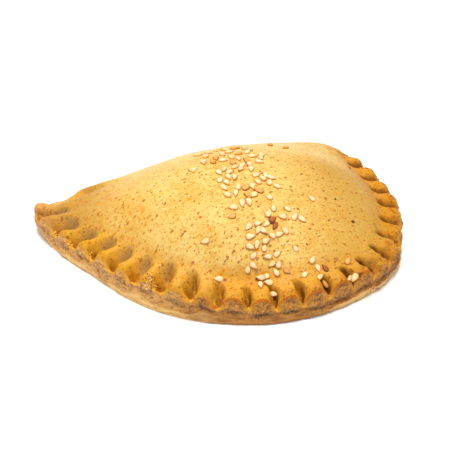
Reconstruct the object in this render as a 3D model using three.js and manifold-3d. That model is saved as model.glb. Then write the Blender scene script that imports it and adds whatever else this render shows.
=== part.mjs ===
// An empanada: a half-moon pie of golden dough, folded along its straight back and crimped round
// its curved front, with sesame seeds baked onto the top. Millimetres, +Z up. The origin lies on
// the resting plane under the middle of the pie, and +X runs from the pointed tip to the blunt end.
import * as THREE from "three";
import { mergeVertices } from "three/addons/utils/BufferGeometryUtils.js";
import Module from "manifold-3d";

const wasm = await Module();
wasm.setup();

// Dome
const CENTRE = new THREE.Vector2(-6.6, 2.8); // plan point under the crown, which every crimp points to
const CROWN = 33.1; // height of the dome over the centre
const CROWN_X = 66; // half length and half width of the oval that the top of the dome follows
const CROWN_Y = 38;
const OVAL_FADE = 3; // how fast that oval turns into the outline of the pie
const DOME_FOOT = 15; // height at which the dome would meet the crimped band
const FOOT_FADE = 6; // how fast the true height of the band is forgotten towards the crown
const LEAST_RISE = 4;
const TAPER_DROP = 0.59; // share of its height that the dome loses towards the tip
const TAPER_START = 0.4; // where along X that loss begins
const TAPER_RUN = 58.4; // how far along X it goes on
const DOME_RINGS = [0.88, 0.74, 0.58, 0.42, 0.24]; // from the foot of the dome to the crown
const MOST_STRIDE = 8; // rings near the crown take every eighth place along the edge

// Crimped rim
const BAND = 8.6; // width of the crimped band
const RIDGE_LEAN = 0.35; // how far the face of a ridge leans in
const RIDGE_BULGE = 0.45; // how far a ridge stands out beyond the valleys
const RIDGE_FOOT = 2.5; // rise from the ridge tops to the foot of the dome
const RIDGE_ROUND = 0.58; // how broad and round the ridges are along the edge, broader for less
const ROUND = 0.34; // share of the band in which a ridge rounds over to its top
const FLOOR = 0.45; // share of the band that is valley floor
const POCKET = 1.2; // depth of the pocket that a fingertip left in that floor
const LIP_EDGE = 0.2; // rounding of the thin lip at the end of each valley
const UNEVEN = 0.08; // share by which the ridges differ in height
const UNDERCUT = 0.6; // how far the resting face lies in from the edge
const BAND_RINGS = 5;
const HULL_RINGS = 3;

// Folded back, flat tip with the flange behind it, wide valleys at the left, thick ridges at the right
// and short finger presses along the front, as changes to the sizes above
const FOLD = { undercut: 5.6, foot: 2.2, ledge: 0.15 };
const TIP = { flat: 5, blend: 6.5, undercut: 3.1, ridge: -1.8, foot: 0.6, band: 3.6 };
const FLANGE = { flat: 3.6, blend: -1, ridge: -1 };
const SCOOP = { x: -8.6, xRun: 25, floor: 0.12, nose: 0.25, reach: 0.05, sharpness: 1.2, pocket: 0.6 };
const FINGER = { x: 36, xRun: 18, bulge: 0.7 };
const FRONT = { y: -26, yRun: 7, shorter: 0.34, floor: 0.15, narrower: 0.2 };
// Hollow of a finger press: half width in crimps, where across the band its round end begins and what
// share of that end closes it, and how far across the band the shape of the edge goes over into it
const HOLLOW = { half: 0.95, end: 0.62, closing: 0.7, most: 0.98, blend: 0.5 };

// Edge of the pie: x, y, height of the lip, height of the ridges over it, share of that height in
// their torn outer face, share of crimping. From the tip the rows stand at every second crimp
// valley, round the front to the blunt end, and then along the fold.
const RIM = [
  [-60.1, 29.2, 7.4, 5.4, 0.5, 1.0],
  [-55.5, 15.3, 7.6, 5.4, 0.45, 1.0],
  [-46.3, 0.3, 7.8, 5.4, 0.45, 1.0],
  [-36.2, -15.1, 9.0, 5.2, 0.45, 1.0],
  [-20.4, -28.3, 9.0, 5.5, 0.5, 1.0],
  [-3.5, -35.2, 6.8, 6.1, 0.6, 1.0],
  [13.8, -37.6, 5.9, 7.0, 0.62, 1.0],
  [31.4, -35.0, 7.3, 6.4, 0.62, 1.0],
  [46.0, -28.9, 7.9, 5.8, 0.4, 1.0],
  [56.4, -12.7, 6.8, 5.7, 0.3, 1.0],
  [60.0, 4.6, 6.5, 4.0, 0.25, 1.0],
  [56.8, 21.2, 6.6, 4.4, 0.25, 1.0],
  [50.2, 31.8, 7.8, 4.6, 0.2, 0.5],
  [25.2, 36.6, 8.5, 5.9, 0.0, 0.0],
  [-7.8, 37.9, 8.0, 5.5, 0.0, 0.0],
  [-40.6, 35.5, 5.8, 3.6, 0.0, 0.0],
  [-56.5, 32.8, 6.6, 4.6, 0.0, 0.3],
];
const CRIMPED_ROWS = 12;
const CRIMPED_STEPS = 20;
const FOLD_STEPS = 8;
const TIP_COUNT = 0.5; // the tip is the top of a ridge, half a crimp before the first valley
const LAST_COUNT = 2 * CRIMPED_ROWS + 0.5; // the fold goes on from the top of the last ridge

function clamp(value, least = 0, most = 1) {
  return Math.min(Math.max(value, least), most);
}

function smooth(value) {
  const t = clamp(value);
  return t * t * (3 - 2 * t);
}

// Rises from 0 to 1 as value goes from 0 to 1, level at the start and with the given slope at the end.
function rampTo(value, slope) {
  const t = clamp(value);
  return 3 * t * t - 2 * t * t * t + slope * (t * t * t - t * t);
}

// The smooth closed curve through the rows, with the crimps counted along it.
function edgeSamples() {
  const rows = RIM.length;
  const row = (i) => RIM[(i + rows) % rows];
  const span = (i) => Math.hypot(row(i + 1)[0] - row(i)[0], row(i + 1)[1] - row(i)[1]);
  const tangent = (i, column) => {
    const before = (row(i)[column] - row(i - 1)[column]) / span(i - 1);
    const after = (row(i + 1)[column] - row(i)[column]) / span(i);
    return (before * span(i) + after * span(i - 1)) / (span(i - 1) + span(i));
  };
  const samples = [];
  for (let i = 0; i < rows; i++) {
    const steps = i < CRIMPED_ROWS ? CRIMPED_STEPS : FOLD_STEPS;
    for (let step = 0; step < steps; step++) {
      const t = step / steps;
      const rise = t * t * (3 - 2 * t);
      const leave = t * (1 - t) * (1 - t) * span(i);
      const arrive = -t * t * (1 - t) * span(i);
      const [x, y, lip, ridge, face, crimped] = row(i).map(
        (value, c) =>
          value * (1 - rise) +
          row(i + 1)[c] * rise +
          tangent(i, c) * leave +
          tangent(i + 1, c) * arrive,
      );
      const count = i === 0 ? TIP_COUNT + (2 - TIP_COUNT) * t : Math.min(2 * (i + t), LAST_COUNT);
      samples.push({ x, y, lip, ridge, face: Math.max(face, 0), crimped: clamp(crimped), count });
    }
  }
  return samples;
}

// Share of the ridge height at a place along the edge: 0 in a valley and 1 on a ridge.
function crimpWave(fromValley, scoop) {
  const floor = 0.03 + SCOOP.floor * scoop;
  const flank = clamp((fromValley - floor) / (1 - floor - SCOOP.nose * scoop));
  return Math.sin((Math.PI / 2) * flank) ** (RIDGE_ROUND + SCOOP.sharpness * scoop);
}

// The same share across a finger press, which is a hollow with a round end at the dome.
function pressWave(fromValley, across, scoop, front) {
  const reach = 1 - FRONT.shorter * front;
  const past = clamp((across / reach - HOLLOW.end) / (1 - HOLLOW.end), 0, HOLLOW.most);
  const half = (HOLLOW.half - FRONT.narrower * front) * Math.sqrt(1 - past ** 2);
  const flank = Math.min(fromValley / half, 1);
  const wave = Math.sin((Math.PI / 2) * flank) ** (RIDGE_ROUND + SCOOP.sharpness * scoop);
  return wave + (1 - wave) * smooth((past - HOLLOW.closing) / (HOLLOW.most - HOLLOW.closing));
}

// Share of the dome's height that is left at x.
function taper(x) {
  const left = (at) => 1 - TAPER_DROP * smooth((TAPER_START - at) / TAPER_RUN);
  return left(x) / left(CENTRE.x);
}

// Sizes of the pie on the line from a sample of the edge to the centre.
function sizesAt(sample) {
  const { x, y, lip, face, crimped, count } = sample;
  const folded = 1 - crimped;
  const toTip = Math.hypot(x - RIM[0][0], y - RIM[0][1]);
  const flat = TIP.flat + FLANGE.flat * folded;
  const tip = 1 - smooth((toTip - flat) / (TIP.blend + FLANGE.blend * folded));
  const scoop = smooth((SCOOP.x - x) / SCOOP.xRun);
  const fromValley = 2 * Math.abs(count - Math.round(count));
  const wave = crimpWave(fromValley, scoop);
  const share = 1 - crimped * (1 - wave);
  const band = BAND + TIP.band * tip;
  const uneven = UNEVEN * crimped * (1 - tip) * Math.sin(1.7 * count);
  const ridge = sample.ridge * (1 + uneven) + (TIP.ridge + FLANGE.ridge * folded) * tip;
  const foot = lip + ridge + RIDGE_FOOT + FOLD.foot * folded * (1 - tip) + TIP.foot * tip;
  const undercut = UNDERCUT + FOLD.undercut * folded + TIP.undercut * tip;
  const front = smooth((FRONT.y - y) / FRONT.yRun);
  const floor = FLOOR + SCOOP.reach * scoop - FRONT.floor * front;
  const pocket = POCKET + SCOOP.pocket * scoop;
  const finger = smooth((x - FINGER.x) / FINGER.xRun);
  const bulge = (RIDGE_BULGE + FINGER.bulge * finger) * crimped * wave;
  const ledge = LIP_EDGE - FOLD.ledge * folded;
  const start = RIDGE_LEAN * crimped * share - bulge + ledge;
  const edge = Math.max(face * share * ridge, ledge);
  const radius = Math.hypot(x - CENTRE.x, y - CENTRE.y);
  const footX = x + (CENTRE.x - x) * (band / radius);
  const footY = y + (CENTRE.y - y) * (band / radius);
  const oval = ((footX - CENTRE.x) / CROWN_X) ** 2 + ((footY - CENTRE.y) / CROWN_Y) ** 2;
  const domeRise =
    (2 + OVAL_FADE - OVAL_FADE * oval) * (CROWN - DOME_FOOT) * taper(footX) -
    FOOT_FADE * (foot - DOME_FOOT);
  const slope = Math.max(domeRise, LEAST_RISE) / (radius - band);
  return {
    lip, ridge, face, crimped, scoop, front, fromValley, wave, band, foot, undercut, floor, pocket,
    bulge, start, edge, radius, oval, slope,
  };
}

// Height over the lip at a share of the way across the crimped band, from the edge to the dome.
function bandHeight(sizes, across) {
  const { lip, ridge, face, crimped, scoop, front, fromValley, wave } = sizes;
  const { band, foot, floor, pocket, slope } = sizes;
  const low = foot - lip;
  const crestRise = low - ridge;
  const crestPower = clamp((slope * band) / crestRise, 1.2, 6);
  const valleySlope = Math.min((slope * band * (1 - floor)) / low, 2.5);
  const foldSlope = clamp((slope * band) / low);
  const rounding = Math.sqrt(1 - (1 - Math.min(across / ROUND, 1)) ** 2);
  const crimp = ridge * (face + (1 - face) * rounding) + crestRise * across ** crestPower;
  const fold = low * ((1 - foldSlope) * Math.sqrt(1 - (1 - across) ** 2) + foldSlope * across);
  const crest = crimp * crimped + fold * (1 - crimped);
  const valley =
    low * rampTo((across - floor) / (1 - floor), valleySlope) -
    pocket * Math.sin(Math.PI * clamp(across / floor)) ** 2;
  const pressed = smooth(across / HOLLOW.blend);
  const press = wave * (1 - pressed) + pressWave(fromValley, across, scoop, front) * pressed;
  return valley + (crest - valley) * (1 - crimped * (1 - press));
}

// The outline of the pie on that line: points of distance in from the edge and height, from the
// resting face up over the crimped band to the foot of the dome.
function sectionAt(sample) {
  const sizes = sizesAt(sample);
  const { lip, band, undercut, bulge, start, edge } = sizes;
  const points = [];
  for (let k = 0; k <= HULL_RINGS; k++) {
    const turn = ((Math.PI / 2) * k) / HULL_RINGS;
    const out = Math.sin(turn);
    points.push([undercut * (1 - out) - bulge * out ** 3, lip * (1 - Math.cos(turn))]);
  }
  points.push([start, lip + edge]);
  for (let k = 1; k <= BAND_RINGS; k++) {
    const across = (k / BAND_RINGS) ** 1.3;
    points.push([start * (1 - across) + band * across, lip + bandHeight(sizes, across)]);
  }
  return { points, ...sizes };
}

// Share of the dome's height at a share of the way out from the crown to the foot.
function domeShare(share, oval) {
  return 1 - oval * share ** 2 - (1 - oval) * share ** (2 + OVAL_FADE);
}

// Rings of vertices from the resting face up to the crown. Rings away from the crimps take only
// every second, fourth or eighth place along the edge.
function crustRings() {
  const samples = edgeSamples();
  const sections = samples.map(sectionAt);
  const place = (i, inwards, z) => {
    const { x, y } = samples[i];
    const share = inwards / sections[i].radius;
    return new THREE.Vector3(x + (CENTRE.x - x) * share, y + (CENTRE.y - y) * share, z);
  };
  const everyNth = (stride, point) => {
    const ring = [];
    for (let i = 0; i < samples.length; i += stride) ring.push(point(i));
    return ring;
  };
  const rings = [];
  const profileRings = sections[0].points.length;
  for (let k = 0; k < profileRings; k++) {
    const stride = 2 ** Math.min(Math.max(HULL_RINGS - k, 0), 2);
    rings.push(everyNth(stride, (i) => place(i, ...sections[i].points[k])));
  }
  DOME_RINGS.forEach((share, k) => {
    const stride = Math.min(2 ** (1 + Math.ceil(k / 2)), MOST_STRIDE);
    rings.push(
      everyNth(stride, (i) => {
        const { foot, radius, band, oval } = sections[i];
        const point = place(i, radius - (radius - band) * share, 0);
        point.z =
          DOME_FOOT +
          (CROWN - DOME_FOOT) * taper(point.x) * domeShare(share, oval) +
          (foot - DOME_FOOT) * share ** FOOT_FADE;
        return point;
      }),
    );
  });
  return rings;
}

// One closed surface over the rings, with a fan at the resting face and one at the crown.
function crustGeometry() {
  const rings = crustRings();
  const vertices = [new THREE.Vector3(CENTRE.x, CENTRE.y, 0)];
  const ids = rings.map((ring) => ring.map((point) => vertices.push(point) - 1));
  const crown = vertices.push(new THREE.Vector3(CENTRE.x, CENTRE.y, CROWN)) - 1;
  const triangles = [];
  const addTriangle = (a, b, c) => {
    if (a !== b && b !== c && c !== a) triangles.push(a, b, c);
  };
  const strip = (lower, upper) => {
    const steps = Math.max(lower.length, upper.length);
    const at = (ring, i) => ring[Math.floor((i * ring.length) / steps) % ring.length];
    for (let i = 0; i < steps; i++) {
      addTriangle(at(lower, i), at(lower, i + 1), at(upper, i + 1));
      addTriangle(at(lower, i), at(upper, i + 1), at(upper, i));
    }
  };
  strip([0], ids[0]);
  for (let k = 0; k + 1 < ids.length; k++) strip(ids[k], ids[k + 1]);
  strip(ids[ids.length - 1], [crown]);
  const geometry = new THREE.BufferGeometry().setFromPoints(vertices);
  geometry.setIndex(triangles);
  return geometry;
}

// Sesame seeds: flat drops, sprinkled in pinches.
const SEED_LENGTH = 3.2;
const SEED_WIDTH = 2.1;
const SEED_THICKNESS = 1.2;
const SEED_RAISED = 0.12; // height of the middle of a seed over the crust
const SEED_SIDES = 6;
const SEED_GAP = 3; // least distance between the middles of two seeds
const SEED_TRIES = 30;
const SIZE_SPREAD = 0.24;
const DRAW_START = 20117;

// Pinches of seeds: x, y, spread along x and along y, number of seeds.
const PINCHES = [
  [-3.9, 11.2, 2.8, 4.1, 6],
  [-10.3, 5.9, 0.0, 0.0, 1],
  [2.1, 12.1, 2.7, 4.5, 6],
  [8.7, 11.5, 3.2, 4.5, 7],
  [5.6, 4.5, 2.7, 3.2, 7],
  [12.1, 6.8, 1.8, 2.7, 3],
  [-1.0, -0.0, 2.6, 2.6, 6],
  [-0.6, -5.5, 2.6, 2.8, 5],
  [10.9, -3.5, 2.7, 2.5, 6],
  [14.3, -7.1, 0.0, 0.0, 1],
  [5.8, -8.4, 2.2, 2.1, 5],
  [0.8, -12.0, 3.1, 0.9, 3],
  [9.6, -13.3, 1.3, 2.8, 3],
  [14.6, -16.2, 2.3, 1.3, 3],
  [19.0, -18.3, 0.0, 0.0, 1],
  [24.3, -11.4, 0.0, 0.0, 1],
  [4.5, -20.2, 3.5, 1.8, 7],
  [9.4, -19.3, 0.2, 1.4, 2],
  [11.3, -21.5, 1.1, 0.4, 2],
  [3.1, -24.0, 3.0, 1.2, 5],
  [6.7, -27.3, 1.7, 1.1, 4],
  [0.1, -26.5, 1.5, 0.5, 2],
  [5.2, -29.3, 3.4, 0.6, 3],
  [2.8, -30.7, 1.3, 0.7, 2],
  [10.4, -30.3, 0.0, 0.0, 1],
  [14.4, -25.7, 0.0, 0.0, 1],
  [19.3, -28.7, 0.0, 0.0, 1],
  [20.4, -30.9, 0.0, 0.0, 1],
  [22.7, -31.0, 0.0, 0.0, 1],
  [15.8, -32.0, 0.0, 0.0, 1],
  [20.5, -32.7, 0.0, 0.0, 1],
  [21.4, -34.0, 0.0, 0.0, 1],
  [30.8, -30.0, 0.0, 0.0, 1],
  [30.5, -33.6, 0.0, 0.0, 1],
  [31.5, -33.9, 0.0, 0.0, 1],
  [5.3, -33.8, 0.0, 0.0, 1],
  [-12.7, -18.2, 0.0, 0.0, 1],
  [-10.8, -26.2, 0.0, 0.0, 1],
  [24.4, 15.4, 0.0, 0.0, 1],
  [19.9, 18.1, 0.0, 0.0, 1],
  [-3.2, -15.2, 0.0, 0.0, 1],
];

let draw = DRAW_START;
function random() {
  draw = (draw * 48271) % 2147483647;
  return draw / 2147483647;
}

// Places of the seeds in plan, each with its turn and its size.
function sprinkle() {
  const seeds = [];
  for (const [x, y, spreadX, spreadY, number] of PINCHES) {
    for (let k = 0; k < number; k++) {
      let best = null;
      for (let t = 0; t < SEED_TRIES; t++) {
        const at = { x: x + spreadX * (2 * random() - 1), y: y + spreadY * (2 * random() - 1) };
        at.clear = seeds.reduce(
          (least, s) => Math.min(least, (s.x - at.x) ** 2 + (s.y - at.y) ** 2),
          SEED_GAP ** 2,
        );
        if (best === null || at.clear > best.clear) best = at;
      }
      best.turn = 2 * Math.PI * random();
      best.size = 1 + SIZE_SPREAD * (random() - 0.5);
      seeds.push(best);
    }
  }
  return seeds;
}

// One seed round its own middle, long along X: a drop with its point at +X and a flattened top. Its
// sides go straight down into the dough.
function seedGeometry() {
  const levels = [
    [1, -0.5],
    [1, 0],
    [0.58, 0.46],
  ];
  const points = [];
  for (const [share, height] of levels) {
    for (let i = 0; i < SEED_SIDES; i++) {
      const angle = (2 * Math.PI * i) / SEED_SIDES;
      const narrowing = 1 - 0.28 * Math.cos(angle);
      points.push(
        new THREE.Vector3(
          (SEED_LENGTH / 2) * share * Math.cos(angle),
          (SEED_WIDTH / 2) * share * narrowing * Math.sin(angle),
          SEED_THICKNESS * height,
        ),
      );
    }
  }
  const triangles = [];
  const top = (levels.length - 1) * SEED_SIDES;
  for (let i = 0; i < SEED_SIDES; i++) {
    const next = (i + 1) % SEED_SIDES;
    for (let low = 0; low < top; low += SEED_SIDES) {
      const [a, b] = [low + i, low + next];
      const [c, d] = [a + SEED_SIDES, b + SEED_SIDES];
      triangles.push(a, b, d, a, d, c);
    }
    if (i > 0 && next > 0) triangles.push(0, next, i, top, top + i, top + next);
  }
  const geometry = new THREE.BufferGeometry().setFromPoints(points);
  geometry.setIndex(triangles);
  return geometry;
}

function solid(geometry) {
  const merged = mergeVertices(geometry, 1e-4);
  return new wasm.Manifold(
    new wasm.Mesh({
      numProp: 3,
      vertProperties: new Float32Array(merged.attributes.position.array),
      triVerts: new Uint32Array(merged.index.array),
    }),
  );
}

// The crust with every seed laid on it, flat against the dough, as one solid.
function pieGeometry() {
  const crust = crustGeometry();
  const target = new THREE.Mesh(crust);
  const ray = new THREE.Raycaster();
  const up = new THREE.Vector3(0, 0, 1);
  const pieces = [solid(crust)];
  for (const { x, y, turn, size } of sprinkle()) {
    ray.set(new THREE.Vector3(x, y, 2 * CROWN), up.clone().negate());
    const [hit] = ray.intersectObject(target);
    const pose = new THREE.Object3D();
    pose.quaternion.setFromUnitVectors(up, hit.face.normal);
    pose.rotateZ(turn);
    pose.position.copy(hit.point).addScaledVector(hit.face.normal, SEED_RAISED);
    pose.scale.setScalar(size);
    pose.updateMatrix();
    pieces.push(solid(seedGeometry().applyMatrix4(pose.matrix)));
  }
  const shells = wasm.Manifold.union(pieces).decompose();
  const outer = shells.find((shell) => shell.volume() > 0); // gaps shut in under seeds are filled
  const { vertProperties, triVerts } = outer.getMesh();
  const geometry = new THREE.BufferGeometry();
  geometry.setAttribute("position", new THREE.BufferAttribute(vertProperties, 3));
  geometry.setIndex(new THREE.BufferAttribute(triVerts, 1));
  geometry.computeVertexNormals();
  return geometry;
}

const dough = new THREE.MeshStandardMaterial({ color: 0xf0bc62, roughness: 0.75, metalness: 0 });
const pie = new THREE.Mesh(pieGeometry(), dough);
pie.name = "seeded_pie";

const empanada = new THREE.Group();
empanada.add(pie);

export default empanada;
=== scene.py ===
# The look of the empanada: a fine crust with crimps, browning and flecks, sesame seeds and crumbs.
import math
import random

import bpy
import numpy as np
from mathutils import Matrix, Quaternion, Vector, noise
from mathutils.bvhtree import BVHTree


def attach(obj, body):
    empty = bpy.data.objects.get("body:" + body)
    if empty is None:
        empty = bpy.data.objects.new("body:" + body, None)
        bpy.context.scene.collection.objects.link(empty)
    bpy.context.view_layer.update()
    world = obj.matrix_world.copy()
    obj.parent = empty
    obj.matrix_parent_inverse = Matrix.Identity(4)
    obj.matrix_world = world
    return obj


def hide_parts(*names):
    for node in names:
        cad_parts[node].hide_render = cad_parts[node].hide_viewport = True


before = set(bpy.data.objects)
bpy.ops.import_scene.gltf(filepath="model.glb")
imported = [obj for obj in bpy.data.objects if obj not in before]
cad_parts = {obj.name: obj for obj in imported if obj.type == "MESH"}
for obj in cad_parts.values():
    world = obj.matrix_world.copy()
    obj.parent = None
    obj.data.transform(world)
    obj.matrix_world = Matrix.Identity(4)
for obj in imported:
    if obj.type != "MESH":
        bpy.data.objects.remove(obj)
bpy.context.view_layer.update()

MM = 0.001
UP = Vector((0, 0, 1))


def rgb(red, green, blue):
    """A linear colour from the usual 0 to 255 values."""
    values = [value / 255 for value in (red, green, blue)]
    return (*[v / 12.92 if v <= 0.04045 else ((v + 0.055) / 1.055) ** 2.4 for v in values], 1)


# Dome, in millimetres like all sizes of the pie below
CENTRE = np.array([-6.6, 2.8])
CROWN = 33.1
CROWN_OVAL = np.array([66, 38])
OVAL_FADE = 3
DOME_FOOT = 15
FOOT_FADE = 6
LEAST_RISE = 4
TAPER_DROP = 0.59
TAPER_START = 0.4
TAPER_RUN = 58.4

# Crimped rim; a pair for coming() gives where a feature starts and the run over which it comes in,
# with a run below 0 towards smaller values
BAND = 8.6
RIDGE_LEAN = 0.35
RIDGE_BULGE = 0.45
RIDGE_FOOT = 2.5
RIDGE_ROUND = 0.58
ROUND = 0.34
CREST_POWER = (1.2, 6)
VALLEY_STEEPEST = 2.5
FLOOR = 0.45
LEAST_FLOOR = 0.03
POCKET = 1.2
LIP_EDGE = 0.2
UNEVEN = 0.08
UNEVEN_PACE = 1.7
UNDERCUT = 0.6
FOLD = {"undercut": 5.6, "foot": 2.2, "ledge": 0.15}
TIP = {"flat": 5.0, "blend": 6.5, "undercut": 3.1, "ridge": -1.8, "foot": 0.6, "band": 3.6}
FLANGE = {"flat": 3.6, "blend": -1.0, "ridge": -1.0}
SCOOP = {
    "x": (-8.6, -25), "floor": 0.12, "nose": 0.25, "reach": 0.05, "sharpness": 1.2, "pocket": 0.6,
    "floor_end": 0.14,
}
FINGER = {"x": (36, 18), "bulge": 0.7, "scorched": 0.3}
HOLLOW = {"half": 0.95, "end": 0.62, "closing": 0.7, "most": 0.98, "blend": 0.5}
FRONT = {"y": (-26, -7), "shorter": 0.34, "floor": 0.15, "narrower": 0.2}

# Seam between the two crusts, as shares of the lip's height, and the torn dough round it
SEAM = {
    "height": 0.8, "right": -0.18, "half": 0.09, "depth": 0.7,
    "waver": 0.05, "waves": ((2.3, 1), (5.3, 0.6)),
    "shelf": -0.17, "shelf_out": 0.35, "grey_over": 0.07, "grey_half": 0.15,
    "torn_from": -0.32, "torn_left": -0.22, "torn_run": 0.2,
}

# Edge of the pie: x, y, height of the lip, height of the ridges over it, share of their torn face,
# share of crimping
RIM = np.array([
    (-60.1, 29.2, 7.4, 5.4, 0.5, 1.0),
    (-55.5, 15.3, 7.6, 5.4, 0.45, 1.0),
    (-46.3, 0.3, 7.8, 5.4, 0.45, 1.0),
    (-36.2, -15.1, 9.0, 5.2, 0.45, 1.0),
    (-20.4, -28.3, 9.0, 5.5, 0.5, 1.0),
    (-3.5, -35.2, 6.8, 6.1, 0.6, 1.0),
    (13.8, -37.6, 5.9, 7.0, 0.62, 1.0),
    (31.4, -35.0, 7.3, 6.4, 0.62, 1.0),
    (46.0, -28.9, 7.9, 5.8, 0.4, 1.0),
    (56.4, -12.7, 6.8, 5.7, 0.3, 1.0),
    (60.0, 4.6, 6.5, 4.0, 0.25, 1.0),
    (56.8, 21.2, 6.6, 4.4, 0.25, 1.0),
    (50.2, 31.8, 7.8, 4.6, 0.2, 0.5),
    (25.2, 36.6, 8.5, 5.9, 0.0, 0.0),
    (-7.8, 37.9, 8.0, 5.5, 0.0, 0.0),
    (-40.6, 35.5, 5.8, 3.6, 0.0, 0.0),
    (-56.5, 32.8, 6.6, 4.6, 0.0, 0.3),
])
CRIMPED_ROWS = 12
TIP_COUNT = 0.5
LAST_COUNT = 2 * CRIMPED_ROWS + 0.5

# Stretches of the edge along X, and its front half along Y
STRETCHES = {
    "shelf": (12, 18), "torn_left": (-8, -26), "dark_seam": (-30, 20), "arches": (-20, 8),
    "scorched": (-15, 20), "pressed": (5, 25), "slim": (-16, 8), "corner": (26, 14),
}
FRONT_HALF = (0, -12)

# Changes along a finger press, from 0 at the edge to 1 at the dome
SHADES = {
    "lip": (0.06, -0.06), "toasted": (0.05, -0.05), "scorched": (0.34, -0.3), "rim_end": (1, -0.7),
    "hollow": (0, 0.1), "floor_end": (0.6, -0.3), "deep_end": (1, -0.2),
    "crease": (0.04, 0.15), "crease_end": (1, -0.3), "front_end": (0.45, 0.4),
    "cup": (0.35, 0.25), "cup_end": (1, -0.18), "skew": (0, 0.4),
}

# Parts of the pie with a tone or a relief of their own
REGIONS = {
    "tip": {"x": (-50, -9)},
    "tip_end": {"x": (-52, -6)},
    "shoulder": {"x": (-30, -16), "y": (2, 12), "z": (11, 3)},
    "left": {"x": (-14, -30)},
    "front_right": {"x": (14, 24), "y": (16, -14)},
    "right_rim": {"x": (32, 16), "z": (15, -4)},
    "upper_fingers": {"y": (4, 12)},
    "back": {"x": (46, -6), "y": (20, 8)},
    "back_left": {"x": (-30, -12)},
    "low": {"z": (19.5, -8)},
    "top": {"y": (2, 20), "z": (18, 8)},
    "pale_left": {"x": (-8, -22)},
    "pale_right": {"x": (16, 14)},
    "scooped": {"x": (-18, -12)},
    "specks": {"y": (30, -4), "z": (18, -5)},
    "crumpled": {"x": (30, 8), "y": (-12, -8)},
}

# Steep dough, by how far its surface looks up
STEEP = (0.45, -0.25)

# Torn arches are taller at the front and have toasted edges, and the lip of one press hangs lower
TALLER_ARCH = 0.16
ARCH_FLANK = 0.35
HANGING_LIP = {"count": 8.8, "half": 0.28, "drop": 1.7, "closed": 0.85}

# Crumpled dough at the right corner covers most of its torn arches
CRUMPLED = {"x": (36, 8), "closed": 0.55, "covered": 0.75, "rough": 0.5}

# Crimps fade at the back right, along their count, and the plain fold lies lower there
FADING = {"count": (22.3, 1.2), "x": (0, 10)}
LOW_FOLD = {"x": 39, "half": 13, "depth": 1.8}

# Finger presses lean to one side and have a slit, painted shade on one wall and a pit at their inner end
SLIM_PRESS = 0.2
PRESS_SKEW = 0.22
CORNER_SKEW = -0.36
WALL = {"at": 0.2, "half": 0.2}
SLIT = {"at": 0.08, "half": 0.11, "depth": 0.5}
PIT = {"at": 0.72, "long": 0.14, "half": 0.4, "depth": 0.8}

# Knob of dough at the tip
KNOB = {
    "at": np.array([-57.6, 29.8, 10.0]), "radius": 4.2, "rise": 0.9, "crease": 0.5, "crease_half": 0.22,
    "rough": 0.5, "rough_reach": 1.4,
}

# Softened dough where the plain fold at the back ends, behind the tip
FOLD_END = {"at": np.array([-47.5, 35.0, 6.5]), "radius": 8.0, "rough": 0.3, "rounds": 24, "share": 0.8}

# Heights of the relief all over the dough, round the rim and on torn dough
LUMPS = 0.3
GRAIN = 0.035
RIM_RELIEF = 0.26
TORN_RELIEF = 0.34

# Fineness of the crust
CRIMPED_STEPS = 80
FOLD_STEPS = 32
HULL_RINGS = 24
FACE_RINGS = 8
BAND_RINGS = 28
BAND_CLOSENESS = 1.3
DOME_RINGS = 60

# Parts of the crust with a colour of their own or with painted shade (the walls, the creases and partly the
# valleys of the presses), and parts with a relief of their own
MASKS = ("cut", "seam", "grey", "low", "lip", "toasted", "scorched", "valley", "painted_wall_shade", "crease")
RELIEF_MASKS = ("pit", "rim", "relief")

# Tones that change slowly over the crust; some are painted light: a painted sheen on the top, painted shade
# on the sides, and partly painted shade on the lower dough
TONES = ("golden", "bake_and_painted_shade", "pale", "scooped", "rosy_tip_and_painted_shade", "painted_side_shade", "painted_sheen", "steep", "speckled")

# Colours of the crust
COLOURS = {
    "dough": rgb(219, 184, 104),
    "dough_patch": rgb(208, 163, 75),
    "light_streak": rgb(230, 194, 118),
    "dark_streak": rgb(196, 138, 48),
    "dark_mottle": rgb(186, 128, 46),
    "light_mottle": rgb(236, 203, 130),
    # Painted sheen: the upper back of the dome is painted paler
    "painted_sheen": rgb(230, 202, 144),
    # Golden of the lower dough and the rim: partly real browning, partly painted warm shade
    "golden": rgb(209, 145, 19),
    # Rosy brown of the tip, and painted shade on the left shoulder
    "rosy_tip_and_painted_shade": rgb(206, 148, 86),
    # Painted shade: the right of the dome and the left shoulder are painted darker
    "painted_side_shade": rgb(176, 132, 50),
    # Browned dough; on the lower dough it is partly painted shade
    "browned": rgb(180, 100, 10),
    "torn": rgb(194, 132, 58),
    "torn_patch": rgb(138, 90, 44),
    "pale_torn": rgb(224, 169, 94),
    "pale_torn_patch": rgb(192, 136, 77),
    "dark_grain": rgb(98, 62, 36),
    "light_grain": rgb(226, 174, 106),
    "reddish_grain": rgb(146, 70, 30),
    # Painted shade on the walls of the presses, greyer in the scoops on the left
    "painted_wall_shade": rgb(126, 82, 30),
    "painted_scoop_shade": rgb(168, 138, 88),
    # Brown of the hollow floors near the edge: partly real browning, partly painted shade
    "valley": rgb(138, 74, 6),
    # Painted shade deep in the hollows, in slits and pits and under the fingers
    "crease": rgb(96, 48, 8),
    "lower_crust": rgb(188, 130, 62),
    "lower_layer": rgb(148, 94, 40),
    "pale_lower_crust": rgb(240, 198, 126),
    "pale_lower_layer": rgb(216, 168, 96),
    "grey": rgb(116, 90, 66),
    "seam": rgb(84, 60, 44),
    "lip": rgb(236, 168, 50),
    "scorched": rgb(142, 68, 16),
    "toasted": rgb(180, 94, 12),
}

# Direction in plan of the streaks in the dough
STREAK_TURN = math.radians(4)

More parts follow.
